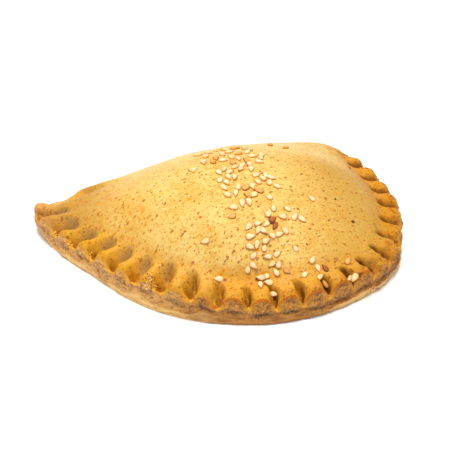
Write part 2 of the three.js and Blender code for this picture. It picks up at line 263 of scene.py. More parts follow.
# Flecks: width of the cells, share of cells with a fleck, its radius in cells, stretch, turn,
# offset of the pattern, strength, colour, where
FLECKS = [
    (1.0, 0.62, 0.205, 1.5, STREAK_TURN, 0.0, 0.72, rgb(172, 92, 24), "top"),
    (1.8, 0.55, 0.17, 1.5, STREAK_TURN, 83.1, 0.78, rgb(156, 78, 22), "top"),
    (4.2, 0.4, 0.085, 1.5, STREAK_TURN, 51.7, 0.75, rgb(144, 70, 20), "top"),
    (2.9, 0.5, 0.14, 1.4, STREAK_TURN, 27.7, 0.8, rgb(204, 130, 4), "top"),
    (9.0, 0.4, 0.028, 1.2, 0.0, 13.1, 1.0, rgb(50, 34, 24), "top"),
    (1.3, 0.6, 0.34, 1.2, 0.0, 5.3, 0.6, rgb(150, 80, 40), "side"),
    (1.1, 0.45, 0.32, 1.2, 0.0, 61.3, 0.7, rgb(138, 68, 20), "rim"),
    (3.0, 0.4, 0.2, 1.2, 0.0, 37.9, 0.75, rgb(128, 60, 18), "rim"),
    (0.7, 0.4, 0.3, 1.2, 0.0, 19.1, 0.55, rgb(150, 80, 22), "rim"),
]

# Sesame seeds
SEED_LENGTH = 3.2
SEED_WIDTH = 1.95
SEED_THICKNESS = 1.2
SEED_EDGE = 0.36
SEED_POINT = 0.52
SEED_FULLNESS = 1.29
SEED_AROUND = 20
SEED_RINGS = 10
SEED_REST = 1.2
SEED_RAISED = 0.12
SEED_GAP = 3.0
SEED_TRIES = 30
SIZE_SPREAD = 0.24
SEED_APART = 2.4
SEED_LEAN = 8
CROWDED_LEAN = 25
# Seeds are darker at the point, toasted, and round the lower side, partly toasted and partly painted shade
TANNED_POINT = (0.8, 0.7)
TAN_AND_PAINTED_SHADE_SIDE = (0.5, -0.26)
DRAW_START = 20117
DRAW_FACTOR = 48271
DRAW_RANGE = 2147483647
SEED_COLOURS = {
    "pale": (rgb(231, 202, 154), rgb(206, 136, 30)),
    "toasted": (rgb(214, 160, 84), rgb(176, 102, 18)),
    "dark": (rgb(166, 90, 36), rgb(112, 54, 20)),
}

# Pinches of seeds: x, y, spread along x and along y, number of seeds, share of toasted seeds or DARK
DARK = 1.5
PINCHES = [
    (-3.9, 11.2, 2.8, 4.1, 6, 0.2),
    (-10.3, 5.9, 0, 0, 1, 0.5),
    (2.1, 12.1, 2.7, 4.5, 6, 0.1),
    (8.7, 11.5, 3.2, 4.5, 7, 0.3),
    (5.6, 4.5, 2.7, 3.2, 7, 0.2),
    (12.1, 6.8, 1.8, 2.7, 3, 0.3),
    (-1.0, 0.0, 2.6, 2.6, 6, 0.1),
    (-0.6, -5.5, 2.6, 2.8, 5, 0.2),
    (10.9, -3.5, 2.7, 2.5, 6, 0.1),
    (14.3, -7.1, 0, 0, 1, 0),
    (5.8, -8.4, 2.2, 2.1, 5, 0.2),
    (0.8, -12.0, 3.1, 0.9, 3, 0),
    (9.6, -13.3, 1.3, 2.8, 3, 0),
    (14.6, -16.2, 2.3, 1.3, 3, 0),
    (19.0, -18.3, 0, 0, 1, 0),
    (24.3, -11.4, 0, 0, 1, 0),
    (4.5, -20.2, 3.5, 1.8, 7, 0.1),
    (9.4, -19.3, 0.2, 1.4, 2, DARK),
    (11.3, -21.5, 1.1, 0.4, 2, 0),
    (3.1, -24.0, 3.0, 1.2, 5, 0),
    (6.7, -27.3, 1.7, 1.1, 4, 0),
    (0.1, -26.5, 1.5, 0.5, 2, 0),
    (5.2, -29.3, 3.4, 0.6, 3, 0),
    (2.8, -30.7, 1.3, 0.7, 2, 0),
    (10.4, -30.3, 0, 0, 1, 1.0),
    (14.4, -25.7, 0, 0, 1, 0),
    (19.3, -28.7, 0, 0, 1, 0),
    (20.4, -30.9, 0, 0, 1, 0),
    (22.7, -31.0, 0, 0, 1, DARK),
    (15.8, -32.0, 0, 0, 1, 0),
    (20.5, -32.7, 0, 0, 1, 0),
    (21.4, -34.0, 0, 0, 1, 1.0),
    (30.8, -30.0, 0, 0, 1, 0.5),
    (30.5, -33.6, 0, 0, 1, 0),
    (31.5, -33.9, 0, 0, 1, 0),
    (5.3, -33.8, 0, 0, 1, 0),
    (-12.7, -18.2, 0, 0, 1, 0),
    (-10.8, -26.2, 0, 0, 1, 0),
    (24.4, 15.4, 0, 0, 1, 1.0),
    (19.9, 18.1, 0, 0, 1, 1.0),
    (-3.2, -15.2, 0, 0, 1, 1.0),
]

# Crumbs and flakes that stuck to the crust: x, y, spread, number, size, kind
CRUMBS = [
    (-31.2, -19.9, 1.7, 36, 0.6, "pale"),
    (-31.0, -19.7, 1.9, 30, 0.55, "rusty"),
    (-55.0, 16.0, 0.6, 9, 0.9, "golden"),
    (-51.6, 8.6, 0.7, 12, 1.0, "golden"),
    (-46.3, 1.2, 0.7, 9, 0.9, "golden"),
    (36.5, -18.4, 0.3, 4, 1.1, "brown"),
    (18.6, -25.0, 0.1, 1, 0.9, "brown"),
    (51.0, 18.6, 0.9, 5, 1.0, "rusty"),
    (47.4, 13.6, 0.3, 2, 0.8, "rusty"),
    (-3.4, -35.0, 0.4, 4, 0.6, "golden"),
    (22.7, -36.7, 0.5, 4, 0.7, "golden"),
    (38.6, -32.2, 1.4, 7, 0.7, "rusty"),
    (33.0, -34.2, 1.2, 6, 0.7, "brown"),
    (-10.8, -31.4, 0.8, 4, 0.7, "rusty"),
]
CRUMB_AROUND = 7
CRUMB_RINGS = 5
CRUMB_HALF = 0.5
CRUMB_RISE = 0.3
CRUMB_RAISED = 0.1
CRUMB_TURN = 6.28
CRUMB_COLOURS = {
    "pale": (rgb(238, 202, 146), rgb(208, 152, 88)),
    "golden": (rgb(234, 180, 76), rgb(212, 144, 42)),
    "rusty": (rgb(190, 112, 52), rgb(146, 78, 32)),
    "brown": (rgb(132, 70, 34), rgb(84, 42, 20)),
}

# Starts of the random draws for how seeds lie and for crumbs
SEED_CHANCE = 5
CRUMB_CHANCE = 11

# Camera: it stands CAMERA_DISTANCE metres from a point on the floor near the pie's middle
CAMERA_TARGET = Vector((3.08, 12.56, 0)) * MM
CAMERA_DISTANCE = 0.4
CAMERA_TURN = math.radians(16)
CAMERA_RISE = math.radians(41)
CAMERA_LENS = 91.89

# Studio, in metres and watts
STAGE_HALF = 3.0
STAGE_DROP = 0.05 * MM
STAGE_WHITE = (0.95, 0.95, 0.95, 1)
KEY_LIGHT = {"place": Vector((-0.05, -0.07, 0.72)), "size": 0.25, "power": 6.4}
SKY_STRENGTH = 0.45


def smooth(value):
    t = np.clip(value, 0, 1)
    return t * t * (3 - 2 * t)


def coming(value, start, run):
    """0 up to the start and 1 past the run, smooth between; a run below 0 goes towards smaller values."""
    return smooth((value - start) / run)


def bump(value, middle, half):
    """A smooth bump of height 1 round the middle."""
    return np.exp(-(((value - middle) / half) ** 2))


def at_least(least, share):
    """Goes from the least value to 1 as the share goes from 0 to 1."""
    return least + (1 - least) * share


def region(points, name):
    """1 well inside a region of the pie and 0 well outside it."""
    share = np.ones(len(points))
    for axis, pair in REGIONS[name].items():
        share = share * coming(points[:, "xyz".index(axis)], *pair)
    return share


def ramp_to(value, slope):
    """Rises from 0 to 1 as value goes from 0 to 1, level at first and with the given slope at the end."""
    t = np.clip(value, 0, 1)
    return 3 * t**2 - 2 * t**3 + slope * (t**3 - t**2)


def edge_samples():
    """The smooth closed curve through the rows of the rim, with the crimps counted along it."""
    step = np.roll(RIM, -1, axis=0) - RIM
    span = np.linalg.norm(step[:, :2], axis=1)[:, None]
    slope = step / span
    span_before = np.roll(span, 1, axis=0)
    tangent = (np.roll(slope, 1, axis=0) * span + slope * span_before) / (span_before + span)
    parts = []
    for i in range(len(RIM)):
        after = (i + 1) % len(RIM)
        steps = CRIMPED_STEPS if i < CRIMPED_ROWS else FOLD_STEPS
        t = (np.arange(steps) / steps)[:, None]
        rise = smooth(t)
        leave = t * (1 - t) ** 2 * span[i]
        arrive = -(t**2) * (1 - t) * span[i]
        rows = RIM[i] * (1 - rise) + RIM[after] * rise + tangent[i] * leave + tangent[after] * arrive
        count = TIP_COUNT + (2 - TIP_COUNT) * t if i == 0 else np.minimum(2 * (i + t), LAST_COUNT)
        parts.append(np.hstack([rows, count]))
    x, y, lip, ridge, face, crimped, count = np.concatenate(parts).T
    return x, y, lip, ridge, np.maximum(face, 0), np.clip(crimped, 0, 1), count


def crimp_wave(from_valley, scoop):
    """Share of the ridge height along the edge: 0 in a valley and 1 on a ridge."""
    floor = LEAST_FLOOR + SCOOP["floor"] * scoop
    flank = np.clip((from_valley - floor) / (1 - floor - SCOOP["nose"] * scoop), 0, 1)
    return np.sin(math.pi / 2 * flank) ** (RIDGE_ROUND + SCOOP["sharpness"] * scoop)


def press_wave(from_valley, across, scoop, front, slim):
    """Share of the ridge height across a finger press: a hollow with a round end at the dome."""
    reach = 1 - FRONT["shorter"] * front
    past = np.clip((across / reach - HOLLOW["end"]) / (1 - HOLLOW["end"]), 0, HOLLOW["most"])
    half = (HOLLOW["half"] - slim) * np.sqrt(1 - past**2)
    flank = np.minimum(from_valley / half, 1)
    wave = np.sin(math.pi / 2 * flank) ** (RIDGE_ROUND + SCOOP["sharpness"] * scoop)
    closing = coming(past, HOLLOW["closing"], HOLLOW["most"] - HOLLOW["closing"])
    return wave + (1 - wave) * closing


def taper(x):
    """Share of the dome's height that is left at x."""
    def left(at):
        return 1 - TAPER_DROP * coming(at, TAPER_START, -TAPER_RUN)
    return left(x) / left(CENTRE[0])


class Crust:
    """The crust as rings of points from the resting face to the crown, with masks for its colours."""

    def __init__(self):
        self.x, self.y, self.lip, self.ridge, self.face, self.crimped, self.count = edge_samples()
        self.measure_stretches()
        self.measure_heights()
        self.measure_presses()
        self.measure_dome()
        self.rings = []
        self.masks = {name: [] for name in MASKS + RELIEF_MASKS}
        self.add_hull()
        self.add_face()
        self.add_band()
        self.add_dome()

    def stretch(self, name):
        return coming(self.x, *STRETCHES[name])

    def measure_stretches(self):
        """Where the edge has the fold, the tip, scoops, fingers and the crumpled corner, and its ridges."""
        fading = coming(self.count, *FADING["count"]) * coming(self.x, *FADING["x"])
        self.crimped = self.crimped * (1 - fading)
        self.folded = 1 - self.crimped
        to_tip = np.hypot(self.x - RIM[0, 0], self.y - RIM[0, 1])
        flat = TIP["flat"] + FLANGE["flat"] * self.folded
        self.tip = 1 - coming(to_tip, flat, TIP["blend"] + FLANGE["blend"] * self.folded)
        self.scoop = coming(self.x, *SCOOP["x"])
        self.front = coming(self.y, *FRONT["y"])
        self.finger = coming(self.x, *FINGER["x"])
        front_half = coming(self.y, *FRONT_HALF)
        self.crumpled = coming(self.x, *CRUMPLED["x"]) * front_half
        corner = self.stretch("corner")
        self.skew = PRESS_SKEW * (1 - 0.5 * self.scoop) * (1 - corner) + CORNER_SKEW * corner * front_half
        self.phase = 2 * (self.count - np.round(self.count))
        self.wave = crimp_wave(np.abs(self.phase), self.scoop)
        self.share = 1 - self.crimped * (1 - self.wave)
        uncovered = 1 - CRUMPLED["covered"] * self.crumpled
        self.arch = coming(self.share, 0, ARCH_FLANK) * self.crimped * self.stretch("arches") * uncovered

    def measure_heights(self):
        """Heights of the lip, of the ridges, of the dome's foot and of the torn face under the ridges."""
        hang = bump(self.count, HANGING_LIP["count"], HANGING_LIP["half"])
        self.lip = self.lip - HANGING_LIP["drop"] * hang
        self.ridge = self.ridge + HANGING_LIP["drop"] * hang
        uneven = UNEVEN * self.crimped * (1 - self.tip) * np.sin(UNEVEN_PACE * self.count)
        self.ridge = self.ridge * (1 + uneven) + (TIP["ridge"] + FLANGE["ridge"] * self.folded) * self.tip
        settled = LOW_FOLD["depth"] * bump(self.x, LOW_FOLD["x"], LOW_FOLD["half"])
        fold_foot = (FOLD["foot"] - settled) * self.folded * (1 - self.tip)
        self.foot = self.lip + self.ridge + RIDGE_FOOT + fold_foot + TIP["foot"] * self.tip
        closed = np.maximum(HANGING_LIP["closed"] * hang, CRUMPLED["closed"] * self.crumpled)
        self.face = (self.face + TALLER_ARCH * self.front) * (1 - closed)
        ledge = LIP_EDGE - FOLD["ledge"] * self.folded
        self.edge = np.maximum(self.face * self.share * self.ridge, ledge)
        self.ledge = ledge * self.crimped

    def measure_presses(self):
        """Sizes of the finger presses and of the ridges between them."""
        self.band = BAND + TIP["band"] * self.tip
        self.undercut = UNDERCUT + FOLD["undercut"] * self.folded + TIP["undercut"] * self.tip
        self.floor = FLOOR + SCOOP["reach"] * self.scoop - FRONT["floor"] * self.front
        self.pocket = POCKET + SCOOP["pocket"] * self.scoop
        self.slim = FRONT["narrower"] * self.front + SLIM_PRESS * self.stretch("slim")
        self.bulge = (RIDGE_BULGE + FINGER["bulge"] * self.finger) * self.crimped * self.wave
        self.lean = RIDGE_LEAN * self.crimped * self.share

    def measure_dome(self):
        """How the dome starts from the inner side of the rim."""
        self.radius = np.hypot(self.x - CENTRE[0], self.y - CENTRE[1])
        foot_x, foot_y = self.plan(self.band)
        along_x = (foot_x - CENTRE[0]) / CROWN_OVAL[0]
        along_y = (foot_y - CENTRE[1]) / CROWN_OVAL[1]
        self.oval = along_x**2 + along_y**2
        rise = (2 + OVAL_FADE - OVAL_FADE * self.oval) * (CROWN - DOME_FOOT) * taper(foot_x)
        rise = np.maximum(rise - FOOT_FADE * (self.foot - DOME_FOOT), LEAST_RISE)
        self.slope = rise / (self.radius - self.band)

    def plan(self, inwards):
        """Points in plan at a distance in from the edge, on the lines to the centre."""
        share = inwards / self.radius
        return self.x + (CENTRE[0] - self.x) * share, self.y + (CENTRE[1] - self.y) * share

    def add_ring(self, inwards, z, stride=1, **masks):
        x, y = self.plan(inwards)
        self.rings.append(np.column_stack([x, y, z])[::stride])
        for name, kept in self.masks.items():
            value = masks.get(name, 0) + np.zeros_like(self.x)
            kept.append(value[::stride])

    def add_hull(self):
        """The side from the resting face out to the lip, with the seam between the two crusts."""
        right = self.stretch("shelf")
        dark = self.stretch("dark_seam")
        waver = SEAM["waver"] * sum(size * np.sin(pace * self.count) for pace, size in SEAM["waves"])
        seam_height = SEAM["height"] + SEAM["right"] * right + waver
        torn_from = SEAM["torn_from"] + SEAM["torn_left"] * self.stretch("torn_left") + 2 * waver
        valley = (1 - self.share) ** 2 * self.crimped
        for k in range(HULL_RINGS + 1):
            turn = math.pi / 2 * k / HULL_RINGS
            out = math.sin(turn)
            height = 1 - math.cos(turn)
            over_seam = height - seam_height
            torn = coming(over_seam, torn_from, SEAM["torn_run"])
            groove = bump(over_seam, 0, SEAM["half"]) * self.crimped
            greyed = bump(over_seam, SEAM["grey_over"], SEAM["grey_half"]) * self.crimped
            shelf = bump(over_seam, SEAM["shelf"], SEAM["half"]) * right * self.crimped
            self.add_ring(
                self.undercut * (1 - out) - self.bulge * out**3 - SEAM["shelf_out"] * shelf,
                self.lip * height,
                low=(1 - torn) * self.crimped,
                cut=torn * self.crimped,
                seam=groove * at_least(0.15, self.share**2) * at_least(0.45, dark),
                grey=greyed * at_least(0.1, self.share**2) * at_least(0.4, dark),
                lip=coming(height, 0.84, 0.12) * valley,
                toasted=0.7 * shelf,
                relief=coming(height, 0, 0.1),
                rim=1,
            )

    def add_face(self):
        """The torn faces under the ridges, with a toasted line at their upper edge."""
        valley = (1 - self.share) ** 2 * self.crimped
        for k in range(1, FACE_RINGS + 1):
            up = k / FACE_RINGS
            self.add_ring(
                (self.lean + self.ledge) * up - self.bulge,
                self.lip + self.edge * up,
                cut=(1 - coming(up, 0.85, 0.15)) * self.crimped * self.share,
                lip=valley,
                toasted=coming(up, 0.8, 0.16) * self.arch,
                relief=1,
                rim=1,
            )

    def add_band(self):
        """The rim from the edge in to the dome: ridges between finger presses, and the plain fold."""
        start = self.lean - self.bulge + self.ledge
        low = self.foot - self.lip
        crest_rise = low - self.ridge
        dome_rise = self.slope * self.band
        crest_power = np.clip(dome_rise / crest_rise, *CREST_POWER)
        valley_slope = np.minimum(dome_rise * (1 - self.floor) / low, VALLEY_STEEPEST)
        fold_slope = np.clip(dome_rise / low, 0, 1)
        for k in range(1, BAND_RINGS + 1):
            across = (k / BAND_RINGS) ** BAND_CLOSENESS
            rounding = math.sqrt(1 - (1 - min(across / ROUND, 1)) ** 2)
            crest = self.ridge * at_least(self.face, rounding) + crest_rise * across**crest_power
            fold = low * ((1 - fold_slope) * math.sqrt(1 - (1 - across) ** 2) + fold_slope * across)
            crest = crest * self.crimped + fold * (1 - self.crimped)
            valley = low * ramp_to((across - self.floor) / (1 - self.floor), valley_slope)
            valley = valley - self.pocket * np.sin(math.pi * np.clip(across / self.floor, 0, 1)) ** 2
            pressed = smooth(across / HOLLOW["blend"])
            skewed = self.phase - self.skew * coming(across, *SHADES["skew"]) * (1 - self.phase**2)
            press = press_wave(np.abs(skewed), across, self.scoop, self.front, self.slim)
            wave = self.wave * (1 - pressed) + press * pressed
            share = 1 - self.crimped * (1 - wave)
            self.add_ring(
                start * (1 - across) + self.band * across,
                self.lip + valley + (crest - valley) * share,
                **self.press_masks(across, skewed, share),
            )

    def press_masks(self, across, skewed, share):
        """Masks of a ring of the rim: browned floors partly painted with shade, painted shade on walls, in
        slits, pits and creases and under fingers, and scorched edges.
        """
        inner = across / (1 - FRONT["shorter"] * self.front)
        hollow = 1 - share
        right = self.stretch("pressed")
        started = coming(across, *SHADES["hollow"])
        along = coming(inner, *SHADES["crease"]) * coming(inner, *SHADES["crease_end"]) * self.crimped
        creased = along * (1 - coming(inner, *SHADES["front_end"]) * self.front) * (1 - self.scoop)
        # painted shade along one wall of each press, and under the fingers
        painted_wall_shade = bump(skewed, WALL["at"], WALL["half"])
        shade = painted_wall_shade * creased * (1 - 0.6 * self.finger)
        under = painted_wall_shade * along * self.finger
        slit = bump(skewed, SLIT["at"], SLIT["half"]) * creased * (1 - self.finger)
        narrow = self.crimped * (1 - self.tip) * (1 - coming(np.abs(skewed), 0, PIT["half"]))
        pit = narrow * bump(inner, PIT["at"], PIT["long"]) * at_least(0.15, right)
        # painted shade in the deepest part of each hollow
        deep = hollow**3 * started * coming(inner, *SHADES["deep_end"])
        # painted shade at the inner end of the scoops
        cupped = hollow**0.8 * coming(inner, *SHADES["cup"]) * coming(inner, *SHADES["cup_end"])
        # floors near the outer end of each hollow are browner: partly real browning, partly painted shade
        floor = coming(inner + SCOOP["floor_end"] * self.scoop, *SHADES["floor_end"])
        floor = floor * hollow**1.3 * started
        scorched = coming(across - FINGER["scorched"] * self.finger, *SHADES["scorched"])
        scorched = scorched * self.share**2 * self.crimped * at_least(0.2, self.stretch("scorched"))
        return {
            "lip": coming(across, *SHADES["lip"]) * hollow**2 * self.crimped,
            "toasted": coming(across, *SHADES["toasted"]) * self.arch,
            "scorched": scorched,
            "valley": floor * (1 - 0.65 * self.front),
            "painted_wall_shade": np.maximum(cupped * (0.3 - 0.2 * self.front + 0.7 * self.scoop), shade),
            # painted shade in hollows, slits and pits and under the fingers
            "crease": np.maximum.reduce([deep * (0.1 + 0.24 * right), 0.5 * pit, 0.7 * slit, 0.5 * under]),
            "pit": pit + SLIT["depth"] / PIT["depth"] * slit,
            "relief": 1,
            "rim": coming(across, *SHADES["rim_end"]),
        }

    def add_dome(self):
        """The dome from the rim up to the crown, with fewer points in the rings near the crown."""
        for k in range(1, DOME_RINGS):
            share = 1 - k / DOME_RINGS
            stride = 2 ** (1 + 3 * k // DOME_RINGS)
            inwards = self.radius - (self.radius - self.band) * share
            height = 1 - self.oval * share**2 - (1 - self.oval) * share ** (2 + OVAL_FADE)
            z = DOME_FOOT + (CROWN - DOME_FOOT) * taper(self.plan(inwards)[0]) * height
            z = z + (self.foot - DOME_FOOT) * share**FOOT_FADE
            self.add_ring(inwards, z, stride, relief=1)

    def points(self):
        ends = np.array([[*CENTRE, 0], [*CENTRE, CROWN]])
        return np.concatenate([ends, *self.rings])

    def mask(self, name):
        return np.concatenate([[0, 0], *self.masks[name]])

    def triangles(self):
        """Strips between neighbouring rings, with a fan at the resting face and one at the crown."""
        starts = 2 + np.cumsum([0] + [len(ring) for ring in self.rings])
        ids = [np.arange(a, b) for a, b in zip(starts[:-1], starts[1:])]
        ids = [np.array([0]), *ids, np.array([1])]
        parts = []
        for lower, upper in zip(ids[:-1], ids[1:]):
            steps = max(len(lower), len(upper))
            here = np.arange(steps)
            a, b = (lower[at * len(lower) // steps % len(lower)] for at in (here, here + 1))
            d, c = (upper[at * len(upper) // steps % len(upper)] for at in (here, here + 1))
            parts.append(np.column_stack([a, b, c]))
            parts.append(np.column_stack([a, c, d]))
        found = np.concatenate(parts)
        whole = (found[:, 0] != found[:, 1]) & (found[:, 1] != found[:, 2]) & (found[:, 2] != found[:, 0])
        return found[whole]


def vertex_normals(points, triangles):
    a, b, c = (points[triangles[:, k]] for k in range(3))
    face = np.cross(b - a, c - a)
    normals = np.zeros_like(points)
    for k in range(3):
        np.add.at(normals, triangles[:, k], face)
    return normals / np.linalg.norm(normals, axis=1)[:, None]


def distance_from(points, place):
    """Distance of each point from a place on the crust, in radii of that place."""
    return np.linalg.norm(points - place["at"], axis=1) / place["radius"]


def soften_fold_end(points, triangles):
    """Evens out the step where the plain fold ends: points move towards the mean of their neighbours."""
    points = points.copy()
    share = FOLD_END["share"] * (1 - smooth(distance_from(points, FOLD_END)))
    near = triangles[(share[triangles] > 0).any(axis=1)]
    sides = np.concatenate([near[:, [0, 1]], near[:, [1, 2]], near[:, [2, 0]]])
    sides = np.concatenate([sides, sides[:, ::-1]])
    number = np.bincount(sides[:, 0], minlength=len(points))
    moved = np.flatnonzero((share > 0) & (number > 0))
    for _ in range(FOLD_END["rounds"]):
        total = np.column_stack([
            np.bincount(sides[:, 0], weights=points[sides[:, 1], k], minlength=len(points))
            for k in range(3)
        ])
        mean = total[moved] / number[moved, None]
        points[moved] += share[moved, None] * (mean - points[moved])
    return points


def fractal(points, size, octaves, offset):
    """Seeded fractal noise at every point, with features of about the given size."""
    shifted = points / np.array(size) + offset
    return np.array([noise.fractal(Vector(p), 1.0, 2.0, octaves) for p in shifted])


def add_relief(points, normals, crust):
    """Lumps all over the dough, grain, an uneven rim, rough torn faces, grooves and the knob at the tip."""
    torn = np.maximum(crust.mask("cut"), crust.mask("seam"))
    from_knob = distance_from(points, KNOB)
    from_fold_end = distance_from(points, FOLD_END)
    rim_height = RIM_RELIEF + CRUMPLED["rough"] * region(points, "crumpled")
    knob_height = KNOB["rough"] * coming(from_knob, KNOB["rough_reach"], -1)
    height = LUMPS * fractal(points, 13, 2, 4.2)
    height += GRAIN * fractal(points, 1.3, 3, 9.7)
    height += rim_height * fractal(points, 3.2, 3, 17.3) * crust.mask("rim")
    height += TORN_RELIEF * fractal(points, (1.1, 1.1, 0.6), 3, 31.1) * torn
    height += knob_height * fractal(points, 2.0, 3, 23.9)
    height += FOLD_END["rough"] * fractal(points, 4.0, 2, 41.3) * (1 - smooth(from_fold_end))
    height -= SEAM["depth"] * crust.mask("seam") + PIT["depth"] * crust.mask("pit")
    height += KNOB["rise"] * (1 - smooth(from_knob))
    height -= KNOB["crease"] * bump(from_knob, 1, KNOB["crease_half"])
    return points + normals * (height * crust.mask("relief"))[:, None]


def browning(points, normals):
    """Where the dough is golden, brown, rosy or pale, and where light is painted on it: the rim, the tip
    and the right end are baked most; the lower dough is browned and partly painted with warm shade, the top
    is painted with sheen and the sides with shade.
    """
    at = {name: region(points, name) for name in REGIONS}
    steep = coming(normals[:, 2], *STEEP)
    fingers = at["right_rim"] * (0.32 - 0.14 * at["upper_fingers"])
    back = at["back"] * (0.4 + 0.3 * at["back_left"])
    # The lower dough, browned and painted warmer: partly real browning, partly painted shade
    low = at["low"] * (1 - 0.6 * at["tip"]) * (1 - back)
    low_bake_and_painted_shade = 0.35 * low * (1 - at["left"]) * (1 - 0.4 * at["right_rim"])
    return {
        # golden lower dough: partly real browning, partly painted warm shade
        "golden": np.clip(0.2 * at["left"] + 0.2 * at["front_right"] + 0.79 * low, 0, 0.88),
        # painted sheen on the upper back of the dome
        "painted_sheen": 0.5 * at["top"],
        "bake_and_painted_shade": np.clip(fingers + low_bake_and_painted_shade + 0.36 * at["tip_end"], 0, 1),
        # rosy brown at the tip, and painted shade on the left shoulder
        "rosy_tip_and_painted_shade": np.clip(0.35 * at["shoulder"] + 0.5 * at["tip"], 0, 1),
        # painted shade darkens the right of the dome and the left shoulder
        "painted_side_shade": np.clip(0.55 * at["front_right"] * (1 - at["right_rim"]) + 0.6 * at["shoulder"], 0, 1),
        "pale": np.maximum(at["pale_left"], at["pale_right"]),
        "scooped": at["scooped"],
        "steep": steep,
        "speckled": np.maximum(at["specks"], 0.6 * steep),
    }


def linked(name, data):
    """A new object in the scene with this mesh, lamp or lens."""
    made = bpy.data.objects.new(name, data)
    bpy.context.scene.collection.objects.link(made)
    return made


def new_object(name, points, faces, material):
    """A smooth mesh piece of the pie, from points in millimetres."""
    mesh = bpy.data.meshes.new(name)
    mesh.from_pydata((np.asarray(points) * MM).tolist(), [], np.asarray(faces).tolist())
    mesh.shade_smooth()
    mesh.materials.append(material)
    piece = linked(name, mesh)
    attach(piece, "root")
    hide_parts("seeded_pie")
    return piece


def joined_object(name, shapes, faces, material):
    """One piece made of many shapes that have the same faces."""
    all_faces = np.concatenate([faces + k * len(shapes[0]) for k in range(len(shapes))])
    return new_object(name, np.concatenate(shapes), all_faces, material)


def add_attribute(piece, name, values):
    attribute = piece.data.attributes.new(name, "FLOAT", "POINT")
    attribute.data.foreach_set("value", values.astype(np.float32))


class Shader:
    """A material, with short calls for the nodes that the pie's materials are made of."""

    def __init__(self, name):
        self.material = bpy.data.materials.new(name)
        self.material.use_nodes = True
        self.tree = self.material.node_tree
        self.surface = self.tree.nodes["Principled BSDF"]
        inputs = {0: self.node("TexCoord", {}).outputs["Object"], "Scale": 1 / MM}
        self.place = self.node("VectorMath", inputs, operation="SCALE").outputs[0]

    def put(self, socket, value):
        """Gives a socket a link, a colour of the crust by its name, or a constant."""
        if isinstance(value, bpy.types.NodeSocket):
            self.tree.links.new(value, socket)
        else:
            socket.default_value = COLOURS[value] if isinstance(value, str) else value

    def node(self, kind, inputs, **settings):
        """A new node with its inputs linked or set."""
        made = self.tree.nodes.new("ShaderNode" + kind)
        for name, value in settings.items():
            setattr(made, name, value)
        for key, value in inputs.items():
            self.put(made.inputs[key], value)
        return made

    def set(self, name, value):
        self.put(self.surface.inputs[name], value)

    def attribute(self, name):
        return self.node("Attribute", {}, attribute_name=name).outputs["Fac"]

    def math(self, operation, *values):
        return self.node("Math", dict(enumerate(values)), operation=operation).outputs[0]

    def stretched(self, sizes, turn, offset):
        """Coordinates turned about Z and then divided by sizes."""
        inputs = {"Vector": self.place, "Scale": sizes, "Rotation": (0, 0, turn), "Location": (offset,) * 3}
        return self.node("Mapping", inputs, vector_type="TEXTURE").outputs[0]

    def noise(self, size, detail, roughness=0.5, vector=None):
        inputs = {"Vector": vector or self.place, "Scale": 1 / size}
        inputs.update({"Detail": detail, "Roughness": roughness})
        return self.node("TexNoise", inputs).outputs[0]

    def ramp(self, value, low, high):
        """0 below low and 1 above high, smooth between; falls if low is above high."""
        inputs = {"Value": value, "From Min": low, "From Max": high}
        return self.node("MapRange", inputs, interpolation_type="SMOOTHSTEP").outputs[0]

    def mix(self, factor, a, b):
        return self.node("Mix", {0: factor, 6: a, 7: b}, data_type="RGBA").outputs[2]

    def blend(self, colour, tint, *factors):
        """The colour with a share of a tint in it; the share is the product of the factors."""
        share = factors[0]
        for factor in factors[1:]:
            share = self.math("MULTIPLY", share, factor)
        return self.mix(share, colour, tint)

    def flecks(self, cell, share, radius, stretch, turn, offset, flat):
        """Mask of scattered flecks, one in some of the cells; flat ones lie in plan."""
        vector = self.stretched((cell * stretch, cell, cell), turn, offset)
        warp = self.node("TexNoise", {"Vector": vector, "Scale": 2.3})
        inputs = {0: warp.outputs["Color"], "Scale": 0.5}
        bent = self.node("VectorMath", inputs, operation="SCALE").outputs[0]
        vector = self.node("VectorMath", {0: vector, 1: bent}, operation="ADD").outputs[0]
        inputs = {"Vector": vector, "Scale": 1.0}
        cells = self.node("TexVoronoi", inputs, voronoi_dimensions="2D" if flat else "3D")
        drawn = self.node("SeparateColor", {0: cells.outputs["Color"]}).outputs
        size = self.math("MULTIPLY_ADD", drawn[1], radius * 0.8, radius * 0.5)
        inside = self.ramp(self.math("DIVIDE", cells.outputs["Distance"], size), 1.0, 0.6)
        return self.math("MULTIPLY", inside, self.math("LESS_THAN", drawn[0], share))

    def add_grain(self, height, strength, distance):
        """Fine relief by shading only, with its depth in millimetres."""
        inputs = {"Height": height, "Strength": strength, "Distance": distance * MM}
        self.set("Normal", self.node("Bump", inputs).outputs[0])


def dough_colour(shader):
    """Golden dough with broad patches, fine streaks and grain."""
    broad = shader.ramp(shader.noise(9, 3, 0.55), 0.3, 0.7)
    streaks = shader.noise(1, 3, vector=shader.stretched((2.4, 0.8, 1.2), STREAK_TURN, 3.0))
    mottle = shader.noise(0.6, 3, 0.6)
    colour = shader.mix(broad, "dough", "dough_patch")
    colour = shader.blend(colour, "light_streak", shader.ramp(streaks, 0.5, 0.75), 0.6)
    colour = shader.blend(colour, "dark_streak", shader.ramp(streaks, 0.5, 0.25), 0.65)
    colour = shader.blend(colour, "dark_mottle", shader.ramp(mottle, 0.52, 0.72), 0.65)
    return shader.blend(colour, "light_mottle", shader.ramp(mottle, 0.48, 0.3), 0.5)


